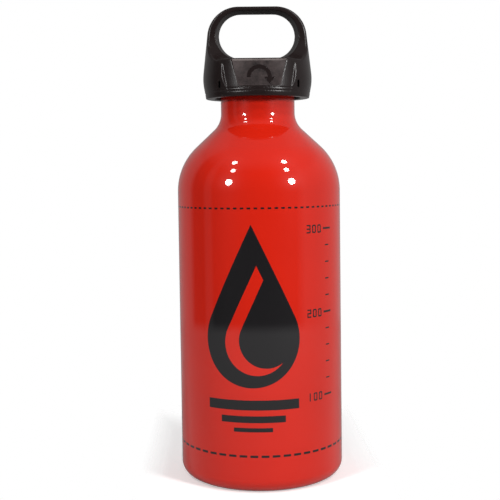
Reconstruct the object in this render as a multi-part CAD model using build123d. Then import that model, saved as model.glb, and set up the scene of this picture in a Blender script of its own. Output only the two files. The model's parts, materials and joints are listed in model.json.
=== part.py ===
from build123d import *
from math import cos, pi, radians, sin, sqrt, tan
import os

# Camping fuel bottle: an aluminium bottle with a screw-in closure.
# Millimetres, +Z up. The origin is the middle of the ring that the bottle stands on.
# +X points along the carrying loop, and -Y is the front.

# The bottle's outside, from the base up
body_r = 32.5
base_corner_r = 5.2
foot_width = 2.2
dome_height = 4.5
body_height = 113.8
shoulder_arc_r = 24.0
shoulder_lean_deg = 47.0
neck_blend_r = 9.0
neck_r = 14.75
neck_height = 9.2
lip_edge_r = 0.6

# The bottle's walls, and its threaded bore, drawn at the thread's pitch line
wall = 1.0
neck_wall = 2.15
throat_blend_r = 6.0
lip_chamfer = 0.9

# The thread's pitch, and the turns that lift the plug clear of the lip
thread_pitch = 3.5
closure_turns = 4
thread_clearance = 0.06

# The seal under the plug's flange
seal_wire_r = 1.05
seal_bore_clearance = 0.1
seal_clearance = 0.05

# The plug
shank_depth = 13.0
shank_wall = 2.3
shank_lead = 0.8
flange_thickness = 2.2
well_r = 7.4
well_depth = 5.6
well_floor = 2.0

# The drive teeth, on the plug's crown and under the cap's roof
tooth_count = 12
tooth_inner_r = 10.4
tooth_length = 4.6
tooth_height = 1.8
tooth_tip_width = 1.0
tooth_flank_clearance = 0.32
tooth_rest_gap = 0.4
tooth_root_clearance = 0.3

# The return spring, of flat wire
spring_mean_r = 5.9
spring_wire_width = 1.2
spring_wire_thickness = 0.8
spring_turns = 4
spring_end_clearance = 0.05

# The retaining ring: round the neck, under the flange, in a groove of the skirt
ring_neck_clearance = 0.45
ring_ledge = 1.7
ring_thickness = 1.2
ring_seat_clearance = 0.05
ring_groove_depth = 0.8
ring_gap = 3.0

# The cap shell's skirt
flange_side_clearance = 0.3
skirt_wall = 3.8
skirt_overlap = 3.45
rim_height = 2.9
rim_draft = 0.4
rim_groove_count = 2
rim_groove_pitch = 1.1
rim_groove_depth = 0.3
rim_groove_width = 0.4
rim_land = 0.4
roof_thickness = 2.7
roof_edge_r = 1.0
spring_collar_clearance = 0.4
spring_collar_wall = 1.2
spring_collar_height = 2.2

# The lobes, which stand proud of the skirt and are widest a little above its rim
lobe_proud = 0.85
lobe_widest_height = 7.25
lobe_round_r = 20.0
lobe_setback = 5.3
lobe_foot_flare = 1.7
lobe_top_drop = 1.45

# The loop: its opening at mid-depth, how far that widens to each face, and the bar and legs round it
opening_width = 30.1
opening_height = 17.4
opening_bevel = 1.4
loop_bar = 2.85
loop_leg = 3.5
loop_corner_r = 12.0
loop_depth = 8.0
loop_flare_height = 11.15
loop_edge_r = 1.0

# The leaning flat panels on the front and back of the skirt
panel_top_half_width = 10.7
panel_bottom_half_width = 7.8
panel_top_drop = 0.65
panel_edge_r = 0.7

# The small upright slots in the lobes
slot_width = 0.8
slot_height = 2.8
slot_depth = 2.3
slot_x = 15.2
slot_rise = 4.85

# One overrun for every cutting tool
overrun = 5.0

# Heights and radii that follow from the sizes above
lean = radians(shoulder_lean_deg)
bore_r = neck_r - neck_wall
shank_r = bore_r - thread_clearance
seal_mean_r = shank_r + seal_bore_clearance + seal_wire_r
ring_inner_r = neck_r + ring_neck_clearance
flange_r = ring_inner_r + ring_ledge
cavity_r = flange_r + flange_side_clearance
groove_r = cavity_r + ring_groove_depth
skirt_r = cavity_r + skirt_wall
skirt_rim_r = skirt_r - rim_draft
lobe_r = skirt_r + lobe_proud
tooth_outer_r = tooth_inner_r + tooth_length
tooth_base_width = pi * tooth_inner_r / tooth_count - tooth_flank_clearance
spring_collar_r = spring_mean_r - spring_wire_width / 2 - spring_collar_clearance


def shoulder_line(wall_r, arc_r, top_r, blend_r):
    """The points of a shoulder, from the straight wall up to the neck: arc, straight cone, arc."""
    arc_end = (wall_r - arc_r * (1 - cos(lean)), body_height + arc_r * sin(lean))
    arc_mid = (wall_r - arc_r * (1 - cos(lean / 2)), body_height + arc_r * sin(lean / 2))
    cone_end_r = top_r + blend_r * (1 - cos(lean))
    cone_end = (cone_end_r, arc_end[1] + (arc_end[0] - cone_end_r) / tan(lean))
    neck_z = cone_end[1] + blend_r * sin(lean)
    blend_mid = (top_r + blend_r * (1 - cos(lean / 2)), neck_z - blend_r * sin(lean / 2))
    return (wall_r, body_height), arc_mid, arc_end, cone_end, blend_mid, (top_r, neck_z)


outer_shoulder = shoulder_line(body_r, shoulder_arc_r, neck_r, neck_blend_r)
inner_shoulder = shoulder_line(body_r - wall, shoulder_arc_r - wall, bore_r, throat_blend_r)
lip_z = outer_shoulder[-1][1] + neck_height
shank_bottom_z = lip_z - shank_depth
flange_bottom_z = lip_z + 2 * (seal_wire_r + seal_clearance)
flange_top_z = flange_bottom_z + flange_thickness
well_floor_z = flange_top_z - well_depth
ceiling_z = flange_top_z + 2 * tooth_height + tooth_rest_gap
press_travel = tooth_height + tooth_rest_gap - tooth_root_clearance
ring_top_z = flange_bottom_z - ring_seat_clearance
ring_bottom_z = ring_top_z - ring_thickness
skirt_bottom_z = lip_z - skirt_overlap
rim_top_z = skirt_bottom_z + rim_height
roof_z = ceiling_z + roof_thickness
opening_bottom_z = roof_z + opening_bevel
opening_top_z = opening_bottom_z + opening_height
loop_top_z = opening_top_z + loop_bar
loop_top_half_width = opening_width / 2 + loop_leg


def arc_middle(centre, radius, degrees):
    """A point on a circle."""
    return centre[0] + radius * cos(radians(degrees)), centre[1] + radius * sin(radians(degrees))


def turned(lines):
    """The solid that an outline in the XZ plane makes when it is turned about Z."""
    face = make_face(Plane.XZ * (Curve() + lines))
    return revolve(face, Axis.Z)


def bottle_shell():
    """The whole bottle: domed base, wall, shoulder and neck, as one open shell."""
    corner_x = body_r - base_corner_r
    corner = (corner_x, base_corner_r)
    foot_inner = corner_x - foot_width
    lip_out = (neck_r - lip_edge_r, lip_z - lip_edge_r)
    outer = outer_shoulder
    inner = inner_shoulder
    dome_r = (foot_inner**2 + dome_height**2) / (2 * dome_height)
    dome_mid_r = foot_inner / 2
    dome_mid_z = dome_height - dome_r + sqrt(dome_r**2 - dome_mid_r**2)
    inner_corner_r = base_corner_r - wall
    lines = [
        ThreePointArc((0, dome_height), (dome_mid_r, dome_mid_z), (foot_inner, 0)),
        Line((foot_inner, 0), (corner_x, 0)),
        ThreePointArc((corner_x, 0), arc_middle(corner, base_corner_r, -45), (body_r, base_corner_r)),
        Line((body_r, base_corner_r), outer[0]),
        ThreePointArc(outer[0], outer[1], outer[2]),
        Line(outer[2], outer[3]),
        ThreePointArc(outer[3], outer[4], outer[5]),
        Line(outer[5], (neck_r, lip_z - lip_edge_r)),
        ThreePointArc((neck_r, lip_z - lip_edge_r), arc_middle(lip_out, lip_edge_r, 45), (lip_out[0], lip_z)),
        Line((lip_out[0], lip_z), (bore_r + lip_chamfer, lip_z)),
        Line((bore_r + lip_chamfer, lip_z), (bore_r, lip_z - lip_chamfer)),
        Line((bore_r, lip_z - lip_chamfer), inner[5]),
        ThreePointArc(inner[5], inner[4], inner[3]),
        Line(inner[3], inner[2]),
        ThreePointArc(inner[2], inner[1], inner[0]),
        Line(inner[0], (body_r - wall, base_corner_r)),
        ThreePointArc(
            (body_r - wall, base_corner_r), arc_middle(corner, inner_corner_r, -45), (corner_x, wall)
        ),
        Line((corner_x, wall), (foot_inner, wall)),
        ThreePointArc((foot_inner, wall), (dome_mid_r, dome_mid_z + wall), (0, dome_height + wall)),
        Line((0, dome_height + wall), (0, dome_height)),
    ]
    return turned(lines)


def o_ring():
    """The seal: a round ring that lies on the bottle's lip."""
    centre_z = lip_z + seal_clearance + seal_wire_r
    section = Plane.XZ * Pos(seal_mean_r, centre_z) * Circle(seal_wire_r)
    return revolve(section, Axis.Z)


def tooth(base_z, direction):
    """One drive tooth at angle 0, standing up (1) or hanging down (-1): one steep flank and one ramp."""
    half = tooth_base_width / 2
    tip = base_z + direction * tooth_height
    outline = Polyline(
        (-direction * half, base_z),
        (direction * half, base_z),
        (direction * half, tip),
        (direction * (half - tooth_tip_width), tip),
        close=True,
    )
    side_plane = Plane(origin=(tooth_inner_r, 0, 0), x_dir=(0, 1, 0), z_dir=(1, 0, 0))
    return extrude(side_plane * make_face(outline), tooth_length)


def tooth_ring(base_z, direction, first_deg):
    """The ring of drive teeth."""
    one = tooth(base_z, direction)
    step = 360 / tooth_count
    return [Rot(0, 0, first_deg + step * k) * one for k in range(tooth_count)]


def threaded_plug():
    """The stopper: hollow shank, flange, spring well and crown of teeth."""
    hollow_r = shank_r - shank_wall
    hollow_top_z = well_floor_z - well_floor
    outline = Polyline(
        (hollow_r, shank_bottom_z),
        (shank_r - shank_lead, shank_bottom_z),
        (shank_r, shank_bottom_z + shank_lead),
        (shank_r, flange_bottom_z),
        (flange_r, flange_bottom_z),
        (flange_r, flange_top_z),
        (well_r, flange_top_z),
        (well_r, well_floor_z),
        (0, well_floor_z),
        (0, hollow_top_z),
        (hollow_r, hollow_top_z),
        close=True,
    )
    body = revolve(Plane.XZ * make_face(outline), Axis.Z)
    return body + tooth_ring(flange_top_z, 1, 0)


def return_spring():
    """The flat-wire coil spring, cut flat at both ends, from the well's floor to the cap's ceiling."""
    low = well_floor_z + spring_end_clearance
    high = ceiling_z - spring_end_clearance
    rise = (high - low - spring_wire_thickness) / spring_turns
    path = Pos(0, 0, low) * Helix(rise, high - low, spring_mean_r)
    start = Plane(origin=path @ 0, x_dir=(1, 0, 0), z_dir=path % 0)
    section = start * Rectangle(spring_wire_width, spring_wire_thickness)
    wire = sweep(section, path=path, is_frenet=True)
    keep = Pos(0, 0, (low + high) / 2) * Cylinder(well_r, high - low)
    return wire & keep


def retaining_ring():
    """The flat ring that sits in the skirt's groove, under the plug's flange."""
    outer = groove_r - ring_seat_clearance
    outline = Polyline(
        (ring_inner_r, ring_bottom_z),
        (outer, ring_bottom_z),
        (outer, ring_top_z),
        (ring_inner_r, ring_top_z),
        close=True,
    )
    whole = revolve(Plane.XZ * make_face(outline), Axis.Z)
    gap = Box(outer, ring_gap, 2 * ring_top_z, align=(Align.MIN, Align.CENTER, Align.CENTER))
    return whole - gap


def skirt():
    """The round skirt with its rim and roof, solid."""
    outline = Polyline(
        (0, skirt_bottom_z),
        (skirt_rim_r, skirt_bottom_z),
        (skirt_r, rim_top_z),
        (skirt_r, roof_z - roof_edge_r),
    )
    corner = (skirt_r - roof_edge_r, roof_z - roof_edge_r)
    roof_edge = ThreePointArc(outline @ 1, arc_middle(corner, roof_edge_r, 45), (corner[0], roof_z))
    roof = Polyline((corner[0], roof_z), (0, roof_z), (0, skirt_bottom_z))
    return turned([outline, roof_edge, roof])


def loop_barrel():
    """The outside that the lobes and the loop share, as a round solid."""
    side = FilletPolyline(
        (skirt_rim_r, skirt_bottom_z),
        (lobe_r, skirt_bottom_z + lobe_widest_height),
        (loop_top_half_width, loop_top_z),
        (0, loop_top_z),
        radius=(lobe_round_r, loop_corner_r),
    )
    closing = Polyline((0, loop_top_z), (0, skirt_bottom_z), (skirt_rim_r, skirt_bottom_z))
    return turned([side, closing])


def loop_side():
    """The outline of the lobes and the loop from the side, as a slab across X."""
    half_depth = loop_depth / 2
    lobe_top = (skirt_r - lobe_setback, roof_z - lobe_top_drop)
    lobe_foot = (lobe_top[0] + lobe_foot_flare, skirt_bottom_z)
    flare_pull = (half_depth, lobe_top[1] + half_depth)
    flare_top = (half_depth, roof_z + loop_flare_height)
    half = [
        Line((0, skirt_bottom_z), lobe_foot),
        Line(lobe_foot, lobe_top),
        Bezier(lobe_top, flare_pull, flare_top),
        Line(flare_top, (half_depth, loop_top_z)),
        Line((half_depth, loop_top_z), (0, loop_top_z)),
        Line((0, loop_top_z), (0, skirt_bottom_z)),
    ]
    face = make_face(Plane.YZ * (Curve() + half))
    slab = extrude(face, lobe_r, both=True)
    return slab + mirror(slab, Plane.XZ)


def opening_outline(grow):
    """The loop's opening, grown on every side: two half circles joined by straight lines."""
    middle = opening_bottom_z + opening_height / 2
    straight = opening_width - opening_height
    return Pos(0, middle) * SlotCenterToCenter(straight, opening_height + 2 * grow)


def loop_opening():
    """The cut through the loop: a waist at mid-depth, bevelled to both faces, then straight."""
    half_depth = loop_depth / 2
    cut = None
    for side in (-1, 1):
        waist = Plane.XZ * opening_outline(0)
        mouth = Plane.XZ.offset(side * half_depth) * opening_outline(opening_bevel)
        beyond = extrude(mouth, side * lobe_r)
        bevel = loft([waist, mouth])
        cut = bevel + beyond if cut is None else cut + bevel + beyond
    return cut


def panel_cut():
    """The wedge that planes a leaning flat on the front of the skirt."""
    low = (-sqrt(skirt_r**2 - panel_bottom_half_width**2), rim_top_z + rim_groove_width + rim_land)
    high = (-sqrt(skirt_r**2 - panel_top_half_width**2), roof_z - panel_top_drop)
    slope = (high[0] - low[0]) / (high[1] - low[1])
    above = (high[0] + slope * overrun, high[1] + overrun)
    outline = Polyline(low, above, (above[0] - overrun, above[1]), (low[0] - overrun, low[1]), close=True)
    return extrude(Plane.YZ * make_face(outline), panel_top_half_width + overrun, both=True)


def rim_grooves():
    """The fine grooves that run round the rim, over the lobes too, with one floor radius."""
    floor_r = skirt_rim_r - rim_groove_depth
    cuts = []
    for k in range(rim_groove_count):
        middle = Pos(0, 0, rim_top_z + rim_groove_width / 2 - rim_groove_pitch * k)
        cuts.append(middle * (Cylinder(lobe_r, rim_groove_width) - Cylinder(floor_r, rim_groove_width)))
    return cuts


def cap_cavity():
    """The inside of the skirt, with the groove of the retaining ring."""
    outline = Polyline(
        (0, skirt_bottom_z - overrun),
        (cavity_r, skirt_bottom_z - overrun),
        (cavity_r, ring_bottom_z - ring_seat_clearance),
        (groove_r, ring_bottom_z - ring_seat_clearance),
        (groove_r, ring_top_z + ring_seat_clearance),
        (cavity_r, ring_top_z + ring_seat_clearance),
        (cavity_r, flange_top_z + tooth_height),
        (tooth_outer_r, ceiling_z),
        (0, ceiling_z),
        close=True,
    )
    return revolve(Plane.XZ * make_face(outline), Axis.Z)


def is_loop_rim(edge):
    """True for an edge between the loop's outside and its front or back."""
    middle = edge @ 0.5
    on_top = abs(middle.Z - loop_top_z) < loop_edge_r and abs(middle.Y) < loop_edge_r
    return middle.Z > skirt_bottom_z + loop_edge_r and abs(middle.Y) > loop_edge_r and not on_top


def is_panel_top(edge):
    """True for the straight edge between a panel and the roof."""
    middle = edge @ 0.5
    level = edge.geom_type == GeomType.LINE and abs((edge @ 0).Z - (edge @ 1).Z) < panel_top_drop / 2
    outer = abs(middle.Y) > (cavity_r + panel_top_half_width) / 2
    return level and outer and abs(middle.X) < panel_edge_r and abs(middle.Z - roof_z) < panel_top_drop / 2


def lobe_slots():
    """Four small upright slots, two in each lobe."""
    y = sqrt(lobe_r**2 - slot_x**2)
    cuts = []
    for x_side in (-1, 1):
        for y_side in (-1, 1):
            box = Box(slot_width, 2 * slot_depth, slot_height)
            cuts.append(Pos(x_side * slot_x, y_side * y, skirt_bottom_z + slot_rise) * box)
    return cuts


def cap_shell():
    """The outer cap: skirt, lobes, loop, cavity, panels, drive teeth and spring collar."""
    loop = loop_barrel() & loop_side()
    rims = [e for e in loop.edges() if is_loop_rim(e)]
    loop = fillet(rims, loop_edge_r) - loop_opening()
    shell = skirt() + loop
    front = panel_cut()
    shell = shell - front - mirror(front, Plane.XZ)
    shell = fillet([e for e in shell.edges() if is_panel_top(e)], panel_edge_r)
    shell = shell - cap_cavity()
    shell -= lobe_slots()
    shell -= rim_grooves()
    collar_low = ceiling_z - spring_collar_height
    collar = Pos(0, 0, collar_low) * Cylinder(
        spring_collar_r, spring_collar_height, align=(Align.CENTER, Align.CENTER, Align.MIN)
    )
    core = Pos(0, 0, collar_low) * Cylinder(
        spring_collar_r - spring_collar_wall, spring_collar_height, align=(Align.CENTER, Align.CENTER, Align.MIN)
    )
    shell = shell + (collar - core)
    return shell + tooth_ring(ceiling_z, -1, 180 / tooth_count)


pieces = {
    "bottle_shell": bottle_shell,
    "o_ring": o_ring,
    "threaded_plug": threaded_plug,
    "return_spring": return_spring,
    "retaining_ring": retaining_ring,
    "cap_shell": cap_shell,
}

os.makedirs("parts", exist_ok=True)
for name, make in pieces.items():
    shape = make()
    export_step(shape, f"parts/{name}.step")
    print(name, round(shape.volume, 1), "cubic mm")
print("The closure rises", thread_pitch * closure_turns, "mm in", closure_turns, "turns.")
print("The cap can be pressed down by", round(press_travel, 2), "mm.")
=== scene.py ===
# %% [markdown]
# # A camping fuel bottle
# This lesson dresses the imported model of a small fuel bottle: a red lacquered aluminium bottle, and
# a black screw closure with a wide carrying loop. The model's sizes, pieces and joints are fixed.
# What is made here is what the eye sees: smooth turned metal, moulded plastic with soft edges, a
# screw thread, print, and a studio. The frame is loaded first, because every piece takes its size
# and its place from it.
# %% Load the fixed frame
import functools
import json
import math
import operator
import bpy
from mathutils import Matrix, Vector, kdtree

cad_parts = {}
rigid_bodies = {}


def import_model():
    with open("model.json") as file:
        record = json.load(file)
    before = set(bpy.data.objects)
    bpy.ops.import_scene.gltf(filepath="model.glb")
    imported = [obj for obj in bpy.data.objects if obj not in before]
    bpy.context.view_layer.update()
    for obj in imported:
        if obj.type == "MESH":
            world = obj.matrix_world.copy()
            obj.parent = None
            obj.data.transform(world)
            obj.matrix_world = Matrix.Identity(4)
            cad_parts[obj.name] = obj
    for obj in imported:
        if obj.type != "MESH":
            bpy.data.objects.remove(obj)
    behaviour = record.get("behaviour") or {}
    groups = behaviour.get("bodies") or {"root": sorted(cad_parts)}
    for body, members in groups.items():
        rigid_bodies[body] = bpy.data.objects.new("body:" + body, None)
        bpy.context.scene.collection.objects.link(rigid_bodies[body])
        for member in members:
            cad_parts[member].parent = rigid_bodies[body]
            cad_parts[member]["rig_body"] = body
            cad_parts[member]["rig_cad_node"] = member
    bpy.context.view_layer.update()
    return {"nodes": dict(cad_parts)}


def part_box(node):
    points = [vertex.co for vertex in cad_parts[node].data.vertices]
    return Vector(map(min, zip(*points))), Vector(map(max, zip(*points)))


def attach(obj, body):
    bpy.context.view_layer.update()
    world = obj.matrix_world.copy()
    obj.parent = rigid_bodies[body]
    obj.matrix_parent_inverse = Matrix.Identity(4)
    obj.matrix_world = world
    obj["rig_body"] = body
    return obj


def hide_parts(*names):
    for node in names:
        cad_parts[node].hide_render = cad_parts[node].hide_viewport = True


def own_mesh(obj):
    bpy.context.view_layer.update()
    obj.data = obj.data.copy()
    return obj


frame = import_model()
mm = 0.001

# %% [markdown]
# ## Sizes
# The overall sizes are read from the frame, so they can't drift from it. The arcs of the bottle's
# outline and the thread's profile can't be read from a box, so they are written down again, in
# millimetres times `mm`: the ones that several pieces share here, and the others where they are
# used.
# %% Sizes that the pieces share
_, bottle_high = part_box("bottle_shell")
cap_low, cap_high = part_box("cap_shell")
plug_low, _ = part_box("threaded_plug")
seal_low, seal_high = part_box("o_ring")
ring_low, ring_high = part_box("retaining_ring")

body_r = bottle_high.x
lip_z = bottle_high.z
wall = 1.0 * mm
thread_pitch = 3.5 * mm
pitch_r = 12.57 * mm
thread_depth = 0.45 * mm
weld_distance = mm / 1000


def in_mm(length):
    """A length as millimetres, for a print."""
    return round(length / mm, 1)


print("The bottle is", in_mm(2 * body_r), "mm across and", in_mm(lip_z), "mm to its lip")
cap_width, cap_height = 2 * cap_high.x, cap_high.z - cap_low.z
print("The cap is", in_mm(cap_width), "mm wide and", in_mm(cap_height), "mm tall with its loop")

# %% [markdown]
# ## The camera
# A bottle is photographed from a little below its cap, near enough for the shoulder to look round.
# The sides stay almost upright, because most of the tilt is taken up by a shift of the lens. The
# shift is kept small enough for the same camera to walk round the bottle without cutting the cap
# off.
# %% Camera
picture_px = 500
focal_px = 996.7
shift_px = 28
camera_distance = 401.5 * mm
camera_height = 124.2 * mm
camera_azimuth_deg = -2.2
heading_deg = 1.67
tilt_deg = 3.29
roll_deg = 0.76

camera_azimuth = math.radians(camera_azimuth_deg)
camera_at = Vector((math.sin(camera_azimuth), -math.cos(camera_azimuth), 0)) * camera_distance
camera_at.z = camera_height
bpy.ops.object.camera_add(location=camera_at)
camera = bpy.context.object
camera.name = "camera"
camera.data.lens = focal_px / picture_px * camera.data.sensor_width
camera.data.shift_y = -shift_px / picture_px
heading = Matrix.Rotation(math.radians(-heading_deg), 4, "Z")
tilt = Matrix.Rotation(math.radians(90 - tilt_deg), 4, "X")
roll = Matrix.Rotation(math.radians(-roll_deg), 4, "Z")
camera.rotation_euler = (heading @ tilt @ roll).to_euler()
bpy.context.scene.camera = camera
print("Lens:", round(camera.data.lens, 1), "mm")

# %% [markdown]
# ## Shader maths as sums
# A material is a tree of nodes, and maths in it is one node for each sum. Written by hand that is
# long and hard to read. The class below wraps one output socket and overloads Python's operators,
# so that `1 - mask` adds the Subtract node that works it out.
# %% A socket that can be added and multiplied
class Wire:
    """An output socket. Maths on wires adds the Math nodes that work it out."""

    def __init__(self, tree, socket):
        self.tree = tree
        self.socket = socket

    def maths(self, operation, *others):
        """Any other operation of the Math node, with this wire first."""
        values = dict(enumerate((self, *others)))
        return self.tree.node("Math", {"operation": operation}, values)

    def __add__(self, other):
        return self.maths("ADD", other)

    def __sub__(self, other):
        return self.maths("SUBTRACT", other)

    def __rsub__(self, other):
        return self.tree.node("Math", {"operation": "SUBTRACT"}, {0: other, 1: self})

    def __mul__(self, other):
        return self.maths("MULTIPLY", other)

    def __gt__(self, other):
        return self.maths("GREATER_THAN", other)

    def __abs__(self):
        return self.maths("ABSOLUTE")

    def __or__(self, other):
        """The larger of two masks, which is all that either covers."""
        return self.maths("MAXIMUM", other)

    __radd__ = __add__
    __rmul__ = __mul__


# %% [markdown]
# Every other node comes from `Tree.node`, which takes the node's type, its settings, and the values
# or links of its sockets. `Finish` is such a tree for a surface: it starts with the shader, and
# with the place of a point on the piece, which every pattern here is drawn from.
# %% A tree of nodes, and a material
class Tree:
    """A node tree that is built up call by call."""

    def __init__(self, tree):
        self.tree = tree

    def node(self, kind, settings=None, sockets=None, output=0):
        """Adds a node: its settings first, then a value or a link for each socket that is named."""
        made = self.tree.nodes.new("ShaderNode" + kind)
        for setting, value in (settings or {}).items():
            setattr(made, setting, value)
        for socket, value in (sockets or {}).items():
            self.give(made.inputs[socket], value)
        return Wire(self, made.outputs[output])

    def give(self, socket, value):
        """Links a wire to a socket, or sets the socket to a plain value."""
        if isinstance(value, Wire):
            self.tree.links.new(value.socket, socket)
        else:
            socket.default_value = value

    def ramp(self, value, low, high):
        """0 where the value is at low, 1 where it is at high, evenly between and flat beyond."""
        sockets = {"Value": value, "From Min": low, "From Max": high}
        return self.node("MapRange", {"clamp": True}, sockets)

    def split(self, vector):
        """The x, y and z of a vector as three wires."""
        return [self.node("SeparateXYZ", None, {0: vector}, axis) for axis in "XYZ"]


class Finish(Tree):
    """A material with its Principled shader. What is the same all over is set on the shader."""

    def __init__(self, name, **constants):
        self.material = bpy.data.materials.new(name)
        self.material.use_nodes = True
        super().__init__(self.material.node_tree)
        self.shader = self.tree.nodes["Principled BSDF"]
        self.feed(**constants)
        self.place = self.node("TexCoord", output="Object")

    def feed(self, **values):
        """Sets the shader's own sockets, or links wires to them."""
        for socket, value in values.items():
            self.give(self.shader.inputs[socket.replace("_", " ")], value)

    def noise(self, size, detail=3, roughness=0.5, place=None):
        """Noise from 0 to 1 whose blotches are about that size in metres."""
        sockets = {"Scale": 1 / size, "Detail": detail, "Roughness": roughness}
        return self.node("TexNoise", None, {"Vector": place or self.place, **sockets})

    def blend(self, factor, first, second):
        """A colour between two colours."""
        sockets = {0: factor, 6: first, 7: second}
        return self.node("Mix", {"data_type": "RGBA"}, sockets, 2)

    def bump(self, height, depth):
        """A normal that leans as a relief of that depth in metres would."""
        return self.node("Bump", None, {"Height": height, "Distance": depth})


# %% [markdown]
# ## Lathe work
# Everything round on this object was turned, drawn or moulded round one axis. In Blender that is an
# outline spun about Z. The outline is drawn as by hand: one vertex is pulled along the outline,
# extruding an edge at each step, and the chain is then spun. `arc` gives the steps of a rounded
# stretch.
# %% Helpers for outlines and spinning
lathe_steps = 192


def arc(centre, radius, start_deg, end_deg, step_deg=4):
    """Points along a circle, from one angle to another, both included."""
    steps = max(2, math.ceil(abs(end_deg - start_deg) / step_deg))
    turns = [math.radians(start_deg + (end_deg - start_deg) * k / steps) for k in range(steps + 1)]
    return [(centre[0] + radius * math.cos(a), centre[1] + radius * math.sin(a)) for a in turns]


def deselect():
    """An operator acts on all that is selected, so each piece starts with nothing selected."""
    bpy.ops.object.select_all(action="DESELECT")


def chain(name, points):
    """A new object in edit mode: one vertex, pulled through the points (x, z) by extruding it."""
    deselect()
    bpy.ops.mesh.primitive_plane_add(size=mm, location=(0, 0, 0))
    piece = bpy.context.object
    piece.name = name
    bpy.ops.object.mode_set(mode="EDIT")
    bpy.ops.mesh.select_all(action="SELECT")
    bpy.ops.mesh.merge(type="CENTER")
    bpy.ops.transform.translate(value=(points[0][0], 0, points[0][1]))
    for (x, z), (next_x, next_z) in zip(points, points[1:]):
        pull = {"value": (next_x - x, 0, next_z - z)}
        bpy.ops.mesh.extrude_vertices_move(TRANSFORM_OT_translate=pull)
    return piece


def weld():
    """In edit mode: makes one of all vertices that lie on each other."""
    bpy.ops.mesh.select_all(action="SELECT")
    bpy.ops.mesh.remove_doubles(threshold=weld_distance)


def close_seams():
    """In edit mode: welds the mesh, turns its faces outwards and goes back to object mode."""
    weld()
    bpy.ops.mesh.normals_make_consistent(inside=False)
    bpy.ops.object.mode_set(mode="OBJECT")


def lathe(name, points):
    """A closed outline (x, z), spun once round Z."""
    piece = chain(name, points)
    bpy.ops.mesh.select_all(action="SELECT")
    bpy.ops.mesh.spin(steps=lathe_steps, angle=math.tau, center=(0, 0, 0), axis=(0, 0, 1))
    close_seams()
    return piece


# %% [markdown]
# ## Finishing a piece
# A finished piece has no open modifiers, is shaded smooth up to its real edges, and rides on the
# body that it moves with, in place of the solid that it is shown for, which is hidden.
# %% Helpers for a finished piece
def pick(piece):
    """Selects one object alone, and makes it the active one."""
    deselect()
    piece.select_set(True)
    bpy.context.view_layer.objects.active = piece


def apply_modifier(piece, kind, **settings):
    """Adds a modifier with its settings and applies it."""
    pick(piece)
    made = piece.modifiers.new(kind.lower(), kind)
    for setting, value in settings.items():
        setattr(made, setting, value)
    bpy.ops.object.modifier_apply(modifier=made.name)


def smooth(piece, degrees):
    """Smooth shading, with a hard edge where two faces meet at more than that angle."""
    pick(piece)
    bpy.ops.object.shade_smooth_by_angle(angle=math.radians(degrees))


def join(piece, other):
    """Makes the other object a part of the piece."""
    pick(piece)
    other.select_set(True)
    bpy.ops.object.join()


def seat(piece, body, node, slot, *materials):
    """Gives a finished piece its materials and its body, and hides the node that it stands for. Its
    slot is not used.
    """
    piece.data.materials.clear()
    for material in materials:
        piece.data.materials.append(material)
    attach(piece, body)
    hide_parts(node)
    print(piece.name, "rides on", body, "and has", len(piece.data.polygons), "faces")


# %% [markdown]
# ## A screw thread
# A thread is one small trapezoid that climbs as it turns. Blender's Screw modifier does just that
# with an outline, given the climb of each turn. The same ridge serves twice: outside the plug it
# points outwards, and inside the neck inwards, half a pitch lower, so that the two screw into each
# other with a little air between them. The ridge starts below and ends above what carries it, and a
# bisect cuts it off flat at both ends.
# %% Helper for thread ridges
ridge_root = 1.9 * mm
ridge_crest = 0.9 * mm
ridge_sink = 0.3 * mm
ridge_steps = 96


def thread_ridge(name, root_r, crest_r, middle_z, low_z, high_z):
    """A right-handed ridge from root_r to crest_r, cut flat at low_z and high_z.

    Its middle passes middle_z on the +X side.
    """
    outward = 1 if crest_r > root_r else -1
    back_r = root_r - outward * ridge_sink
    turns = math.ceil((high_z - low_z) / thread_pitch) + 2
    first_z = middle_z - thread_pitch * math.ceil((middle_z - low_z) / thread_pitch + 1)
    outline = [
        (back_r, first_z - ridge_root / 2),
        (root_r, first_z - ridge_root / 2),
        (crest_r, first_z - ridge_crest / 2),
        (crest_r, first_z + ridge_crest / 2),
        (root_r, first_z + ridge_root / 2),
        (back_r, first_z + ridge_root / 2),
        (back_r, first_z - ridge_root / 2),
    ]
    piece = chain(name, outline)
    weld()
    bpy.ops.object.mode_set(mode="OBJECT")
    apply_modifier(
        piece, "SCREW", axis="Z", angle=math.tau, screw_offset=thread_pitch, iterations=turns,
        steps=ridge_steps, render_steps=ridge_steps,
        use_normal_calculate=True, use_merge_vertices=False
    )
    bpy.ops.object.mode_set(mode="EDIT")
    for height, side in ((low_z, "clear_inner"), (high_z, "clear_outer")):
        bpy.ops.mesh.select_all(action="SELECT")
        bpy.ops.mesh.bisect(
            plane_co=(0, 0, height), plane_no=(0, 0, 1), use_fill=True, **{side: True}
        )
    close_seams()
    return piece


print("The thread climbs", in_mm(thread_pitch), "mm in each turn")

# %% [markdown]
# ## The bottle
# The real bottle is drawn from one slug of aluminium: a domed base with a ring to stand on, a
# straight wall, a round shoulder that runs into a short cone, and a thicker neck with a thread cut
# inside. It could be a cylinder with a subdivided shoulder, but the lathe keeps every arc true, and
# lamps mirrored in the gloss show the smallest kink. The outline runs from the dome's middle, out
# and up to the lip, and back down inside.
#
# The outline could also be read from the frame's own mesh, but that is cut into flats as fine as a
# drawing needs and no finer, and each flat would show in the gloss.
# %% Outline of the bottle
base_corner_r = 5.2 * mm
foot_width = 2.2 * mm
dome_height = 4.5 * mm
body_height = 113.8 * mm
shoulder_r = 24 * mm
shoulder_lean_deg = 47
neck_r = 14.75 * mm
neck_blend_r = 9 * mm
throat_blend_r = 6 * mm
lip_edge_r = 0.6 * mm
lip_chamfer = 0.9 * mm
thread_low = 144.5 * mm
thread_play = 0.03 * mm

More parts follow.
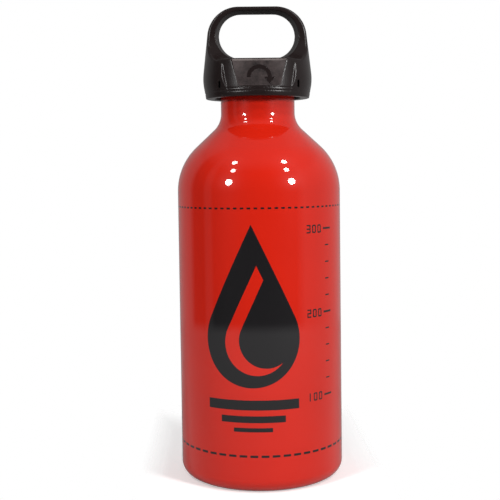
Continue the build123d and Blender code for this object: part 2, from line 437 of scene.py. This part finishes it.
lean = math.radians(shoulder_lean_deg)
neck_root_r = pitch_r + thread_depth + thread_play
foot_outer_r = body_r - base_corner_r
foot_inner_r = foot_outer_r - foot_width
dome_r = (foot_inner_r**2 + dome_height**2) / (2 * dome_height)
dome_deg = math.degrees(math.asin(foot_inner_r / dome_r))


def shoulder(wall_r, arc_r, top_r, blend_r):
    """From the wall to the neck: an arc, a cone and an arc that curves the other way."""
    round_part = arc((wall_r - arc_r, body_height), arc_r, 0, shoulder_lean_deg, step_deg=2)
    cone_end_r = top_r + blend_r * (1 - math.cos(lean))
    cone_end_z = round_part[-1][1] + (round_part[-1][0] - cone_end_r) / math.tan(lean)
    neck_z = cone_end_z + blend_r * math.sin(lean)
    blend_start_deg = 180 + shoulder_lean_deg
    return round_part + arc((top_r + blend_r, neck_z), blend_r, blend_start_deg, 180, step_deg=3)


outside = arc((0, dome_height - dome_r), dome_r, 90, 90 - dome_deg, step_deg=3)
outside += arc((foot_outer_r, base_corner_r), base_corner_r, -90, 0)
outside += shoulder(body_r, shoulder_r, neck_r, neck_blend_r)
outside += arc((neck_r - lip_edge_r, lip_z - lip_edge_r), lip_edge_r, 0, 90, step_deg=15)
lip = [(neck_root_r + lip_chamfer, lip_z)]
inside = [(neck_root_r, lip_z - lip_chamfer), (neck_root_r, thread_low + thread_depth)]
inside += shoulder(body_r - wall, shoulder_r - wall, pitch_r, throat_blend_r)[::-1]
inside += arc((foot_outer_r, base_corner_r), base_corner_r - wall, 0, -90)
inside += arc((0, dome_height - dome_r + wall), dome_r, 90 - dome_deg, 90, step_deg=3)
bottle_outline = outside + lip + inside
print("Outline points:", len(outside), "outside and", len(inside), "inside")

# %% Turn the bottle
bottle = lathe("bottle", bottle_outline)
print("Turned:", len(bottle.data.vertices), "vertices")

# %% Cut the thread in the neck
neck_crest_r = pitch_r - thread_depth
neck_thread_z = lip_z - 1.5 * thread_pitch
neck_thread = thread_ridge(
    "neck_thread", neck_root_r, neck_crest_r, neck_thread_z, thread_low, lip_z - lip_chamfer
)
join(bottle, neck_thread)
smooth(bottle, degrees=30)
print("With its thread:", len(bottle.data.polygons), "faces")

# %% [markdown]
# ## Red lacquer and print
# The lacquer is an opaque red under a clear coat. Its colour is set on the base layer and its gloss
# on the coat, so that the lamps show as small sharp discs while the red stays flat. The coat isn't
# perfectly level: a faint ripple bends the reflections a little. The print could be a painted
# image, but it is drawn by formula on the unrolled wall, so that it stays sharp at any distance:
# `u` is the length round the wall from the front, and z is the height. It is a plain design of this
# lesson's own: a fuel drop over three bars, a level scale in millilitres with plain numbers, a
# dotted filling line all round, and a row of dashes above the base.
# %% Shapes on the unrolled wall
ink_edge = 0.05 * mm
box_corner = 0.2 * mm


def filled(finish, distance):
    """1 where a distance is negative and 0 where it is positive, with an edge as soft as ink."""
    return finish.ramp(distance, ink_edge, -ink_edge)


def box_mask(finish, u, v, centre, half_width, half_height, corner=box_corner):
    """A rectangle with rounded corners."""
    du = (abs(u - centre[0]) - (half_width - corner)).maths("MAXIMUM", 0)
    dv = (abs(v - centre[1]) - (half_height - corner)).maths("MAXIMUM", 0)
    return filled(finish, (du * du + dv * dv).maths("SQRT") - corner)


def disc_mask(finish, u, v, centre, radius):
    """A circle."""
    du, dv = u - centre[0], v - centre[1]
    return filled(finish, (du * du + dv * dv).maths("SQRT") - radius)


def drop_mask(finish, u, v, centre, radius, height):
    """A drop: a circle, and the wedge of its two tangents, which meet at a point above it."""
    slope = math.asin(radius / height)
    above = v - centre[1] - height
    flank = abs(u - centre[0]) * math.cos(slope) + above * math.sin(slope)
    wedge = filled(finish, flank) * (v > centre[1] + radius * math.sin(slope))
    return disc_mask(finish, u, v, centre, radius) | wedge


print("The wall unrolls to", in_mm(math.tau * body_r), "mm")

# %% [markdown]
# The design itself: each motif is a mask, and the largest of them is the ink. What comes back at a
# regular pitch is drawn once, on a height or a length that starts again at each step. The numbers
# are built from straight strokes, as a stencil cutter would: each stroke is a centre, a half width
# and a half height.
# %% Sizes of the printed design
drop_at = (-4.5 * mm, 59 * mm)
drop_r, drop_top = 18.5 * mm, 43 * mm
# The gleam is a red drop inside the black one, and the core is a black drop inside the gleam. What
# stays red between them is one curved stroke.
gleam_at = (drop_at[0] + 1.9 * mm, drop_at[1] - 1.4 * mm)
gleam_r, gleam_top = 12.4 * mm, 29 * mm
core_at = (drop_at[0] + 5.5 * mm, drop_at[1] - 0.6 * mm)
core_r, core_top = 10.5 * mm, 25 * mm
# Each bar has its height on the wall, its half width and its half height.
bar_rows = (
    (34.0 * mm, 18 * mm, 1.9 * mm),
    (28.6 * mm, 12.5 * mm, 1.3 * mm),
    (24.6 * mm, 7.5 * mm, 0.8 * mm),
)
# A step of the scale is 100 ml, and its height is how far that fills the bottle up.
step_volume_mm3 = 100000
step = step_volume_mm3 / (math.pi * (body_r / mm - wall / mm) ** 2) * mm
fine_steps = 5
first_step_z = 35.5 * mm
scale_middle_z = 67.5 * mm
scale_half_width, scale_half_height = 12 * mm, 36 * mm
tick_u = 28.5 * mm
tick_half, fine_tick_half = 2.4 * mm, 1.2 * mm
number_u = 21.2 * mm
stroke = 0.26 * mm
digit_half_width = 0.95 * mm
digit_half_height = 1.6 * mm
digit_pitch = 2.7 * mm
nought_corner, nought_inner_corner = 0.5 * mm, 0.3 * mm
fill_z = 108 * mm
dot_pitch = 2.6 * mm
dot_half = (0.7 * mm, 0.35 * mm)
dash_z = 14.5 * mm
dash_pitch = 4.2 * mm
dash_half = (1.5 * mm, 0.45 * mm)
print("The scale's steps of 100 ml are", in_mm(step), "mm apart")


# %% The printed design
def repeat(value, pitch):
    """A length that runs from minus to plus half a pitch, again and again."""
    return (value * (1 / pitch) + 0.5).maths("FRACT") * pitch - pitch / 2


def box_masks(finish, u, v, rows):
    """All of several rectangles, each given as centre u, centre v, half width and half height."""
    masks = [box_mask(finish, u, v, row[:2], row[2], row[3]) for row in rows]
    return functools.reduce(operator.or_, masks)


def first_digits(finish, u, z):
    """The 1, the 2 and the 3 of the scale's numbers, at their three heights."""
    w, h, s = digit_half_width, digit_half_height, stroke
    high, low = (h - s) / 2, (s - h) / 2
    flat_rows = [(0, y * (h - s), w, s) for y in (1, 0, -1)]
    two = flat_rows + [(w - s, high, s, (h + s) / 2), (s - w, low, s, (h + s) / 2)]
    three = flat_rows + [(w - s, 0, s, h)]
    rows = [(0, 0, s, h)] + [(x, y + step, *half) for x, y, *half in two]
    rows += [(x, y + 2 * step, *half) for x, y, *half in three]
    return box_masks(finish, u, z - first_step_z, rows)


def scale_mask(finish, u, z):
    """Ticks each 20 ml, and numbers each 100 ml."""
    level = repeat(z - first_step_z, step)
    fine = repeat(z - first_step_z, step / fine_steps)
    ticks = box_mask(finish, u, fine, (tick_u, 0), fine_tick_half, stroke)
    ticks = ticks | box_mask(finish, u, level, (tick_u, 0), tick_half, 1.5 * stroke)
    half = (digit_half_width, digit_half_height)
    hole_half = [size - 2 * stroke for size in half]
    nought_u = abs(u - number_u - digit_pitch / 2) - digit_pitch / 2
    nought = box_mask(finish, nought_u, level, (0, 0), *half, nought_corner)
    hole = box_mask(finish, nought_u, level, (0, 0), *hole_half, nought_inner_corner)
    marks = ticks | nought * (1 - hole) | first_digits(finish, u - number_u + digit_pitch, z)
    scale_at = (number_u, scale_middle_z)
    return marks * box_mask(finish, u, z, scale_at, scale_half_width, scale_half_height)


def print_mask(finish):
    """All that is printed on the wall, as one mask."""
    x, y, z = finish.split(finish.place)
    u = x.maths("ARCTAN2", 0 - y) * body_r
    drop = drop_mask(finish, u, z, drop_at, drop_r, drop_top)
    core = drop_mask(finish, u, z, core_at, core_r, core_top)
    gleam = drop_mask(finish, u, z, gleam_at, gleam_r, gleam_top)
    ink = drop * (1 - gleam * (1 - core))
    ink = ink | box_masks(finish, u, z, [(drop_at[0], *row) for row in bar_rows])
    dots = box_mask(finish, repeat(u, dot_pitch), z, (0, fill_z), *dot_half)
    dashes = box_mask(finish, repeat(u, dash_pitch), z, (0, dash_z), *dash_half)
    return ink | scale_mask(finish, u, z) | dots | dashes


# %% [markdown]
# ## The lacquer itself
# On the real bottle the red is a baked enamel with a clear varnish on top, and the ink lies on the
# varnish. In the shader that is one surface: red or black underneath, and a coat with its own
# gloss, a little weaker on the ink. A metallic base would let the aluminium shine through, but this
# enamel is opaque.
# %% The lacquer
red = (0.62, 0.0145, 0.0040, 1)
deeper_red = (0.59, 0.0133, 0.0037, 1)
ink_black = (0.010, 0.009, 0.010, 1)
ink_dulling = 0.12
cloud_size = 24 * mm
ripple_size = 2.6 * mm
ripple_depth = 0.0025 * mm


def red_lacquer():
    """Opaque red under a clear coat, with the print in black."""
    finish = Finish("red lacquer", Coat_Roughness=0.035, Coat_IOR=1.5, Specular_IOR_Level=0.06)
    ink = print_mask(finish)
    cloud = finish.noise(cloud_size, 4)
    tone = finish.blend(finish.ramp(cloud, 0.3, 0.7), deeper_red, red)
    finish.feed(
        Base_Color=finish.blend(ink, tone, ink_black),
        Roughness=0.34 + 0.06 * cloud,
        Coat_Weight=1 - ink_dulling * ink,
        Normal=finish.bump(finish.noise(ripple_size, 1), ripple_depth)
    )
    return finish.material


lacquer = red_lacquer()
print("The lacquer has", len(lacquer.node_tree.nodes), "nodes")

# %% [markdown]
# ## Bare aluminium
# Inside, and on the rim where the thread was cut, the metal is bare. Turning leaves fine rings, so
# the brightness and the relief vary with the height, and hardly at all round the bottle. Noise that
# is squeezed along the height gives that, where rings as a wave would be too regular.
# %% Bare aluminium
squeeze = (2, 2, 400)
dull_metal = (0.62, 0.62, 0.63, 1)
bright_metal = (0.80, 0.80, 0.81, 1)


def bare_aluminium():
    """Turned aluminium with fine rings."""
    finish = Finish("bare aluminium", Metallic=1.0)
    squeezed = finish.node("Mapping", None, {"Vector": finish.place, "Scale": squeeze})
    rings = finish.noise(3 * mm, 2, 0.6, squeezed)
    finish.feed(
        Base_Color=finish.blend(rings, dull_metal, bright_metal),
        Roughness=0.26 + 0.2 * rings,
        Normal=finish.bump(rings, 0.01 * mm)
    )
    return finish.material


bare_metal = bare_aluminium()
print("The bare metal has", len(bare_metal.node_tree.nodes), "nodes")

# %% [markdown]
# The lathe made one ring of faces from each edge of the outline. So a face's finish follows from
# the edge whose middle lies nearest to the face: lacquer up to the lip, and bare metal from there
# on down the inside. This could be done by height and radius, but the wall is thin and the dome
# turns upside down, so that is fragile.
# %% Lacquer outside, bare metal inside
lacquered_edges = len(outside) - 1
edge_middles = kdtree.KDTree(len(bottle_outline) - 1)
for index, ((x, z), (next_x, next_z)) in enumerate(zip(bottle_outline, bottle_outline[1:])):
    edge_middles.insert(((x + next_x) / 2, 0, (z + next_z) / 2), index)
edge_middles.balance()

seat(bottle, "bottle", "bottle_shell", "red_lacquer", lacquer, bare_metal)
for face in bottle.data.polygons:
    radius = math.hypot(face.center.x, face.center.y)
    _, edge, _ = edge_middles.find((radius, 0, face.center.z))
    face.material_index = 0 if edge < lacquered_edges else 1
print("Bare faces:", sum(face.material_index for face in bottle.data.polygons))

# %% [markdown]
# ## The cap
# The cap is one moulding: a round skirt, two lobes to press and turn it by, and a loop. Its shape
# in the frame is right, but its edges are as sharp as a drawing's. A moulding has no sharp edges,
# and a bevel on so many small triangles would tear. So a welded copy is rebuilt on a fine even
# grid, which rounds every edge by about the grid's size, and is then thinned where it is flat.
# %% Soften a moulding
relax_share, relax_rounds = 0.5, 5
cap_grid, cap_keep_share = 0.2 * mm, 0.33


def welded_copy(name, node):
    """A copy of a node, with its loose triangles welded into one skin."""
    pick(frame["nodes"][node])
    bpy.ops.object.duplicate()
    piece = bpy.context.object
    piece.name = name
    bpy.ops.object.parent_clear(type="CLEAR_KEEP_TRANSFORM")
    bpy.ops.mesh.customdata_custom_splitnormals_clear()
    bpy.ops.object.mode_set(mode="EDIT")
    weld()
    bpy.ops.object.mode_set(mode="OBJECT")
    # The copy is no node of the frame, so the marks that say so are taken off it.
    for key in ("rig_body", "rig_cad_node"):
        if key in piece:
            del piece[key]
    return piece


def soften(piece, grid, keep_share):
    """Rebuilds a closed skin on an even grid, relaxes it a little and thins it."""
    apply_modifier(piece, "REMESH", mode="VOXEL", voxel_size=grid, use_smooth_shade=True)
    apply_modifier(piece, "SMOOTH", factor=relax_share, iterations=relax_rounds)
    apply_modifier(piece, "DECIMATE", ratio=keep_share)
    smooth(piece, degrees=60)


cap = welded_copy("cap", "cap_shell")
soften(cap, cap_grid, cap_keep_share)
print("The cap has", len(cap.data.polygons), "faces")

# %% [markdown]
# ## Black moulded plastic
# Black plastic shows its shape by its gloss alone, so the base is nearly black and the gloss is
# fairly tight. Its convex edges are paler: rubbed wear, and a painted highlight along them. The
# mould is polished except on the two leaning panels, which are etched: paler, duller and blotchy,
# paler still in the upper corners, and with a painted highlight along the top edge. A raised arrow
# there, smooth and dark again, shows which way the cap turns shut. It could be modelled, but a
# relief of a fifth of a millimetre is all light and shade, so it is a mask that feeds the bump.
# So is the fine line round the loop where the two halves of the mould met.
# %% Where the cap is etched
panel_low_z, panel_high_z = 154.4 * mm, 164.6 * mm
panel_half_width = 8.3 * mm
panel_flare = 0.2
panel_facing = 0.9
arrow_z = 157.6 * mm
arrow_r = 4.0 * mm
arrow_half_bar = 0.75 * mm
arrow_head = 2.6 * mm
arrow_head_slope = 0.8
seam_half_width = 0.09 * mm


def panel_mask(finish, u, z):
    """The two panels: between their flanks and heights, where the skin faces front or back."""
    middle_z, half_height = (panel_high_z + panel_low_z) / 2, (panel_high_z - panel_low_z) / 2
    between_flanks = filled(finish, abs(u) - panel_half_width - (z - panel_low_z) * panel_flare)
    between_heights = filled(finish, abs(z - middle_z) - half_height)
    _, facing, _ = finish.split(finish.node("TexCoord", output="Normal"))
    return between_flanks * between_heights * (abs(facing) > panel_facing)


def arrow_mask(finish, u, z):
    """An arc over the top from left to right, which ends in an arrowhead that points down."""
    ring = disc_mask(finish, u, z, (0, arrow_z), arrow_r + arrow_half_bar)
    ring = ring * (1 - disc_mask(finish, u, z, (0, arrow_z), arrow_r - arrow_half_bar))
    above = filled(finish, arrow_z - z)
    from_tip = z - (arrow_z - arrow_head)
    head = filled(finish, abs(u - arrow_r) - from_tip * arrow_head_slope) * (1 - above)
    return ring * above | head


print("The etched panels are", in_mm(panel_high_z - panel_low_z), "mm high")


# %% The cap's plastic
polished_black = (0.0115, 0.0068, 0.0066, 1)
# Paler black for the convex edges: rubbed wear, and a painted highlight.
rubbed_and_highlit_black = (0.034, 0.025, 0.024, 1)
etched_black = (0.010, 0.0066, 0.0066, 1)
etched_grey = (0.050, 0.036, 0.035, 1)
corner_grey = (0.085, 0.068, 0.067, 1)
# The colour of the painted highlight along the panels' top edge, where its rounding catches the
# light.
painted_edge_highlight = (0.15, 0.125, 0.12, 1)
# Where the paler upper corners and the painted highlight along the top edge start, and where they are
# full.
corner_pale_u, corner_pale_z = (4 * mm, 9.5 * mm), (157 * mm, 164 * mm)
edge_highlight_z = (163.8 * mm, 164.1 * mm)
blotch_size = 2.2 * mm
patch_size = 5 * mm
relief_depth = 0.2 * mm


def rubbed_and_highlit_edges(finish, patch, start, full):
    """Edges that hands have rubbed, where the skin is convex, but not all along; on the cap their
    paleness is also a painted highlight.
    """
    convex = finish.node("NewGeometry", output="Pointiness")
    return finish.ramp(convex, start, full) * finish.ramp(patch, 0.35, 0.65)


def etching(finish, u, z, patch):
    """The etched panels' colour: blotchy, paler in the upper corners, and with a painted highlight
    along the top.
    """
    blotch = finish.noise(blotch_size, 5, 0.7)
    colour = finish.blend(finish.ramp(blotch, 0.3, 0.7), etched_black, etched_grey)
    corners = finish.ramp(abs(u), *corner_pale_u) * finish.ramp(z, *corner_pale_z)
    colour = finish.blend(corners * finish.ramp(patch, 0.2, 0.6), colour, corner_grey)
    # A painted highlight along the panels' top edge.
    top_edge_highlight = finish.ramp(z, *edge_highlight_z) * finish.ramp(patch, 0.2, 0.5)
    return finish.blend(top_edge_highlight, colour, painted_edge_highlight)


def cap_plastic():
    """Polished black, with two etched panels."""
    finish = Finish("black nylon", Specular_IOR_Level=0.3)
    x, y, z = finish.split(finish.place)
    u = 0 - x * y.maths("SIGN")
    panel = panel_mask(finish, u, z)
    arrow = arrow_mask(finish, u, z) * panel
    etched = panel * (1 - arrow)
    seam = filled(finish, abs(y) - seam_half_width) * (z > panel_high_z)
    patch = finish.noise(patch_size, 4, 0.6)
    # The convex edges are paler: rubbed wear, and a painted highlight along them.
    polished = finish.blend(rubbed_and_highlit_edges(finish, patch, 0.53, 0.62), polished_black, rubbed_and_highlit_black)
    grain = finish.noise(0.25 * mm, 2) * (0.06 + 0.12 * etched)
    finish.feed(
        Base_Color=finish.blend(etched, polished, etching(finish, u, z, patch)),
        Roughness=0.26 + 0.1 * patch + etched * 0.16,
        Normal=finish.bump(grain + arrow + 0.3 * seam, relief_depth)
    )
    return finish.material


seat(cap, "cap", "cap_shell", "black_nylon", cap_plastic())

# %% [markdown]
# ## The plug
# The plug, the seal, the spring and the ring work inside the cap. The plug is moulded like the cap,
# from a paler black, and its edges wear where the cap and the neck turn on it. Its thread could be
# laid on after the rest is softened, but then a sharp crack would run all round its root, so it is
# added to the plain shank before.
# %% The plug
plug_grid, plug_keep_share = 0.25 * mm, 0.6
plug_black = (0.03, 0.028, 0.028, 1)
plug_rubbed = (0.07, 0.066, 0.065, 1)

plug = welded_copy("plug", "threaded_plug")
plug_root_r, plug_crest_r = pitch_r - thread_depth, pitch_r + thread_depth
plug_thread = thread_ridge(
    "plug_thread", plug_root_r, plug_crest_r, lip_z - thread_pitch, plug_low.z, lip_z
)
join(plug, plug_thread)
soften(plug, plug_grid, plug_keep_share)


def plug_nylon():
    """Black plastic: a fine moulded grain, uneven gloss, and edges a little paler."""
    finish = Finish("plug nylon", Specular_IOR_Level=0.5)
    patch = finish.noise(patch_size, 4, 0.6)
    rubbed = rubbed_and_highlit_edges(finish, patch, 0.52, 0.60)
    finish.feed(
        Base_Color=finish.blend(rubbed, plug_black, plug_rubbed),
        Roughness=0.30 + 0.12 * patch,
        Normal=finish.bump(finish.noise(0.22 * mm, 2), 0.01 * mm)
    )
    return finish.material


seat(plug, "plug", "threaded_plug", "plug_nylon", plug_nylon())

# %% [markdown]
# ## The seal
# A rubber ring of round section is a torus, so it is one primitive. It could be a circle on the
# lathe, which comes to the same in more steps. Its two radii come from the frame's box.
# %% The seal
seal_wire_r = (seal_high.z - seal_low.z) / 2
seal_r = seal_high.x - seal_wire_r
rubber_black = (0.014, 0.014, 0.014, 1)
rubber_bloom = (0.03, 0.03, 0.029, 1)

deselect()
bpy.ops.mesh.primitive_torus_add(
    major_radius=seal_r, minor_radius=seal_wire_r, major_segments=144, minor_segments=28,
    location=(0, 0, (seal_high.z + seal_low.z) / 2)
)
seal = bpy.context.object
seal.name = "seal"
bpy.ops.object.transform_apply(location=True, rotation=True, scale=True)
smooth(seal, degrees=60)


def seal_rubber():
    """Matt black rubber with a faint dusty bloom."""
    finish = Finish("seal rubber", Specular_IOR_Level=0.3)
    bloom = finish.noise(1.5 * mm, 3)
    finish.feed(
        Base_Color=finish.blend(finish.ramp(bloom, 0.45, 0.75), rubber_black, rubber_bloom),
        Roughness=0.6 + 0.2 * bloom,
        Normal=finish.bump(finish.noise(0.3 * mm, 2), 0.01 * mm)
    )
    return finish.material


seat(seal, "seal", "o_ring", "seal_rubber", seal_rubber())

# %% [markdown]
# ## The spring
# The spring is coiled from flat wire, whose edges are sharp enough to keep as they are. It could be
# coiled again here, but the frame's has its ends cut flat already, so a welded copy only gets
# smooth shading. It pushes the cap up. When the cap is pressed down, the real spring is squeezed
# from above, so that its coils close towards the plug by the same travel; here it keeps its shape,
# rides on the plug and has a mesh of its own.
# %% The spring
spring_dark = (0.5, 0.5, 0.51, 1)
spring_bright = (0.68, 0.68, 0.69, 1)

spring = welded_copy("spring", "return_spring")
smooth(spring, degrees=40)


def spring_steel():
    """Stainless wire that was rolled flat."""
    finish = Finish("spring steel", Metallic=1.0)
    rolled = finish.noise(0.6 * mm, 3, 0.6)
    finish.feed(
        Base_Color=finish.blend(rolled, spring_dark, spring_bright),
        Roughness=0.25 + 0.15 * rolled,
        Normal=finish.bump(rolled, 0.004 * mm)
    )
    return finish.material


seat(spring, "plug", "return_spring", "spring_steel", spring_steel())
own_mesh(spring)

# %% [markdown]
# ## The retaining ring
# A flat snap ring of white acetal keeps the plug in the cap from below. It is split, so that it can
# be squeezed into its groove. On the lathe it would come out whole and the gap would still have to
# be cut, and its edges are sharp in life too, so here as well the welded copy is enough.
# %% The retaining ring
acetal_shade = (0.70, 0.69, 0.64, 1)
acetal_white = (0.80, 0.79, 0.75, 1)

ring = welded_copy("snap_ring", "retaining_ring")
smooth(ring, degrees=40)
print("It is", in_mm(2 * ring_high.y), "mm across and", in_mm(ring_high.z - ring_low.z), "mm thick")


def natural_acetal():
    """Natural white plastic, a little translucent to look at, so a little uneven in tone."""
    finish = Finish("natural acetal", Specular_IOR_Level=0.5)
    cloud = finish.noise(4 * mm, 3)
    finish.feed(
        Base_Color=finish.blend(cloud, acetal_shade, acetal_white),
        Roughness=0.36 + 0.1 * cloud,
        Normal=finish.bump(finish.noise(0.3 * mm, 2), 0.006 * mm)
    )
    return finish.material


seat(ring, "keeper", "retaining_ring", "ring_plastic", natural_acetal())

# %% [markdown]
# ## The studio
# The lacquer is a mirror, so the studio is drawn by what it shows. Three small round lamps on each
# side make three small spots on each side of the shoulder. They could be one large softbox, which
# is kinder to most things, but a softbox would lie as a white band over the whole wall and the
# print. The lamps on the right are brighter, so that the bottle is shaded from right to left.
# %% Lamps
lamp_distance = 1.0
lamp_aim = Vector((0, 0, 120 * mm))
# Each row has its azimuth and elevation in degrees, its diameter in metres and its share of the
# side's brightness. Each side has its sign and its brightness.
lamp_rows = {
    "low": (45, 16, 0.18, 1),
    "middle": (43.5, 36.5, 0.12, 0.6),
    "high": (49, 50.5, 0.12, 0.6),
}
lamp_sides = {"left": (-1, 37), "right": (1, 55)}

scene = bpy.context.scene
scene.view_settings.view_transform = "Standard"


def lamp(name, azimuth_deg, elevation_deg, size, brightness):
    """A round lamp that looks at the bottle. Azimuth 0 is the front, and positive is to the right.

    Its power follows its area, so that a lamp of another size looks equally bright.
    """
    azimuth, elevation = math.radians(azimuth_deg), math.radians(elevation_deg)
    level = math.cos(elevation)
    way = Vector((math.sin(azimuth) * level, -math.cos(azimuth) * level, math.sin(elevation)))
    deselect()
    bpy.ops.object.light_add(type="AREA", location=lamp_aim + way * lamp_distance)
    made = bpy.context.object
    made.name = name
    made.data.shape = "DISK"
    made.data.size = size
    made.data.energy = brightness * 4 * math.pi * (size / 2) ** 2
    made.rotation_euler = way.to_track_quat("Z", "Y").to_euler()
    print(name, "has", round(made.data.energy, 2), "W")


for side, (sign, brightness) in lamp_sides.items():
    for row, (azimuth_deg, elevation_deg, size, share) in lamp_rows.items():
        lamp(f"{side}_{row}", sign * azimuth_deg, elevation_deg, size, brightness * share)

# %% [markdown]
# ## The surroundings
# Between the lamps the mirror shows the room: dark in front, so that the red stays deep, and pale
# walls beside and behind, which draw the soft light edges down both sides. It could be a photograph
# of a studio wrapped round the scene, but a few ramps over the direction of view are easier to set.
# The camera itself sees white.
# %% The room
# A ramp's two values are where a light starts and where it is full: in degrees round from the front
# for the walls, in degrees from its middle for the strip, and for the ceiling and the top of the
# walls in the upward part of the direction, which runs from -1 to 1.
right_wall_deg, right_wall_light = (50, 64), 0.34
left_wall_deg, left_wall_light = (106, 116), 0.27
left_strip_deg, left_strip_edge_deg, left_strip_light = -78, (9, 4), 0.15
ceiling_from, ceiling_light = (0.6, 0.85), 0.22
walls_up_to = (0.9, 0.5)
room_light = 0.05
camera_white = (1, 1, 1, 1)

world = bpy.data.worlds.new("studio")
scene.world = world
world.use_nodes = True
sky = Tree(world.node_tree)
dx, dy, dz = sky.split(sky.node("TexCoord", output="Generated"))
azimuth = dx.maths("ARCTAN2", 0 - dy) * (180 / math.pi)
right_wall = sky.ramp(azimuth, *right_wall_deg) * right_wall_light
left_wall = sky.ramp(0 - azimuth, *left_wall_deg) * left_wall_light
left_strip = sky.ramp(abs(azimuth - left_strip_deg), *left_strip_edge_deg) * left_strip_light
ceiling = sky.ramp(dz, *ceiling_from) * ceiling_light
walls = (right_wall + left_wall + left_strip) * sky.ramp(dz, *walls_up_to)
room = room_light + walls + ceiling
seen = sky.node("LightPath", output="Is Camera Ray")
backdrop = world.node_tree.nodes["Background"]
sky.give(backdrop.inputs["Color"], camera_white)
sky.give(backdrop.inputs["Strength"], seen + (1 - seen) * room)
print("The world has", len(world.node_tree.nodes), "nodes")

# %% [markdown]
# ## The floor
# The bottle stands on white paper. What the lower wall mirrors is the paper itself, a wide grey
# disc. What the camera sees is lifted to white by a glow, keeps the soft shadow beside the base,
# and fades into the white backdrop, sooner to the sides than to the back. It could be a plain white
# plane, but that would either leave a grey horizon or burn the shadow away.
# %% The paper
floor_radius = 0.6
mirrored_grey = (0.5, 0.5, 0.5, 1)
mirrored_glow = (0, 0, 0, 1)
paper_white = (0.88, 0.88, 0.88, 1)
paper_glow = (0.34, 0.34, 0.34, 1)
fade_end, fade_start = 0.42, 0.37
camera_fade = 0.3
side_steepness, side_fade = 4, 0.22

deselect()
bpy.ops.mesh.primitive_circle_add(
    vertices=96, radius=floor_radius, fill_type="NGON", location=(0, 0, 0)
)
floor = bpy.context.object
floor.name = "floor"
paper = Finish("floor paper", Roughness=1.0, Specular_IOR_Level=0.0, Emission_Strength=1.0)
fx, fy, _ = paper.split(paper.place)
reach = (fx * fx + fy * fy).maths("SQRT")
# In a mirror the paper fades by its reach alone, from fade_start to fade_end in metres. For the
# camera it fades nearer: camera_fade is added to the reach, and to the sides each step counts
# side_steepness times on top of side_fade.
camera_reach = abs(fx) * side_steepness + side_fade | reach + camera_fade
seen = paper.node("LightPath", output="Is Camera Ray")
paper.feed(
    Base_Color=paper.blend(seen, mirrored_grey, paper_white),
    Emission_Color=paper.blend(seen, mirrored_glow, paper_glow),
    Alpha=paper.ramp(reach + seen * (camera_reach - reach), fade_end, fade_start)
)
floor.data.materials.append(paper.material)
print("The floor reaches", floor_radius, "m from the bottle")
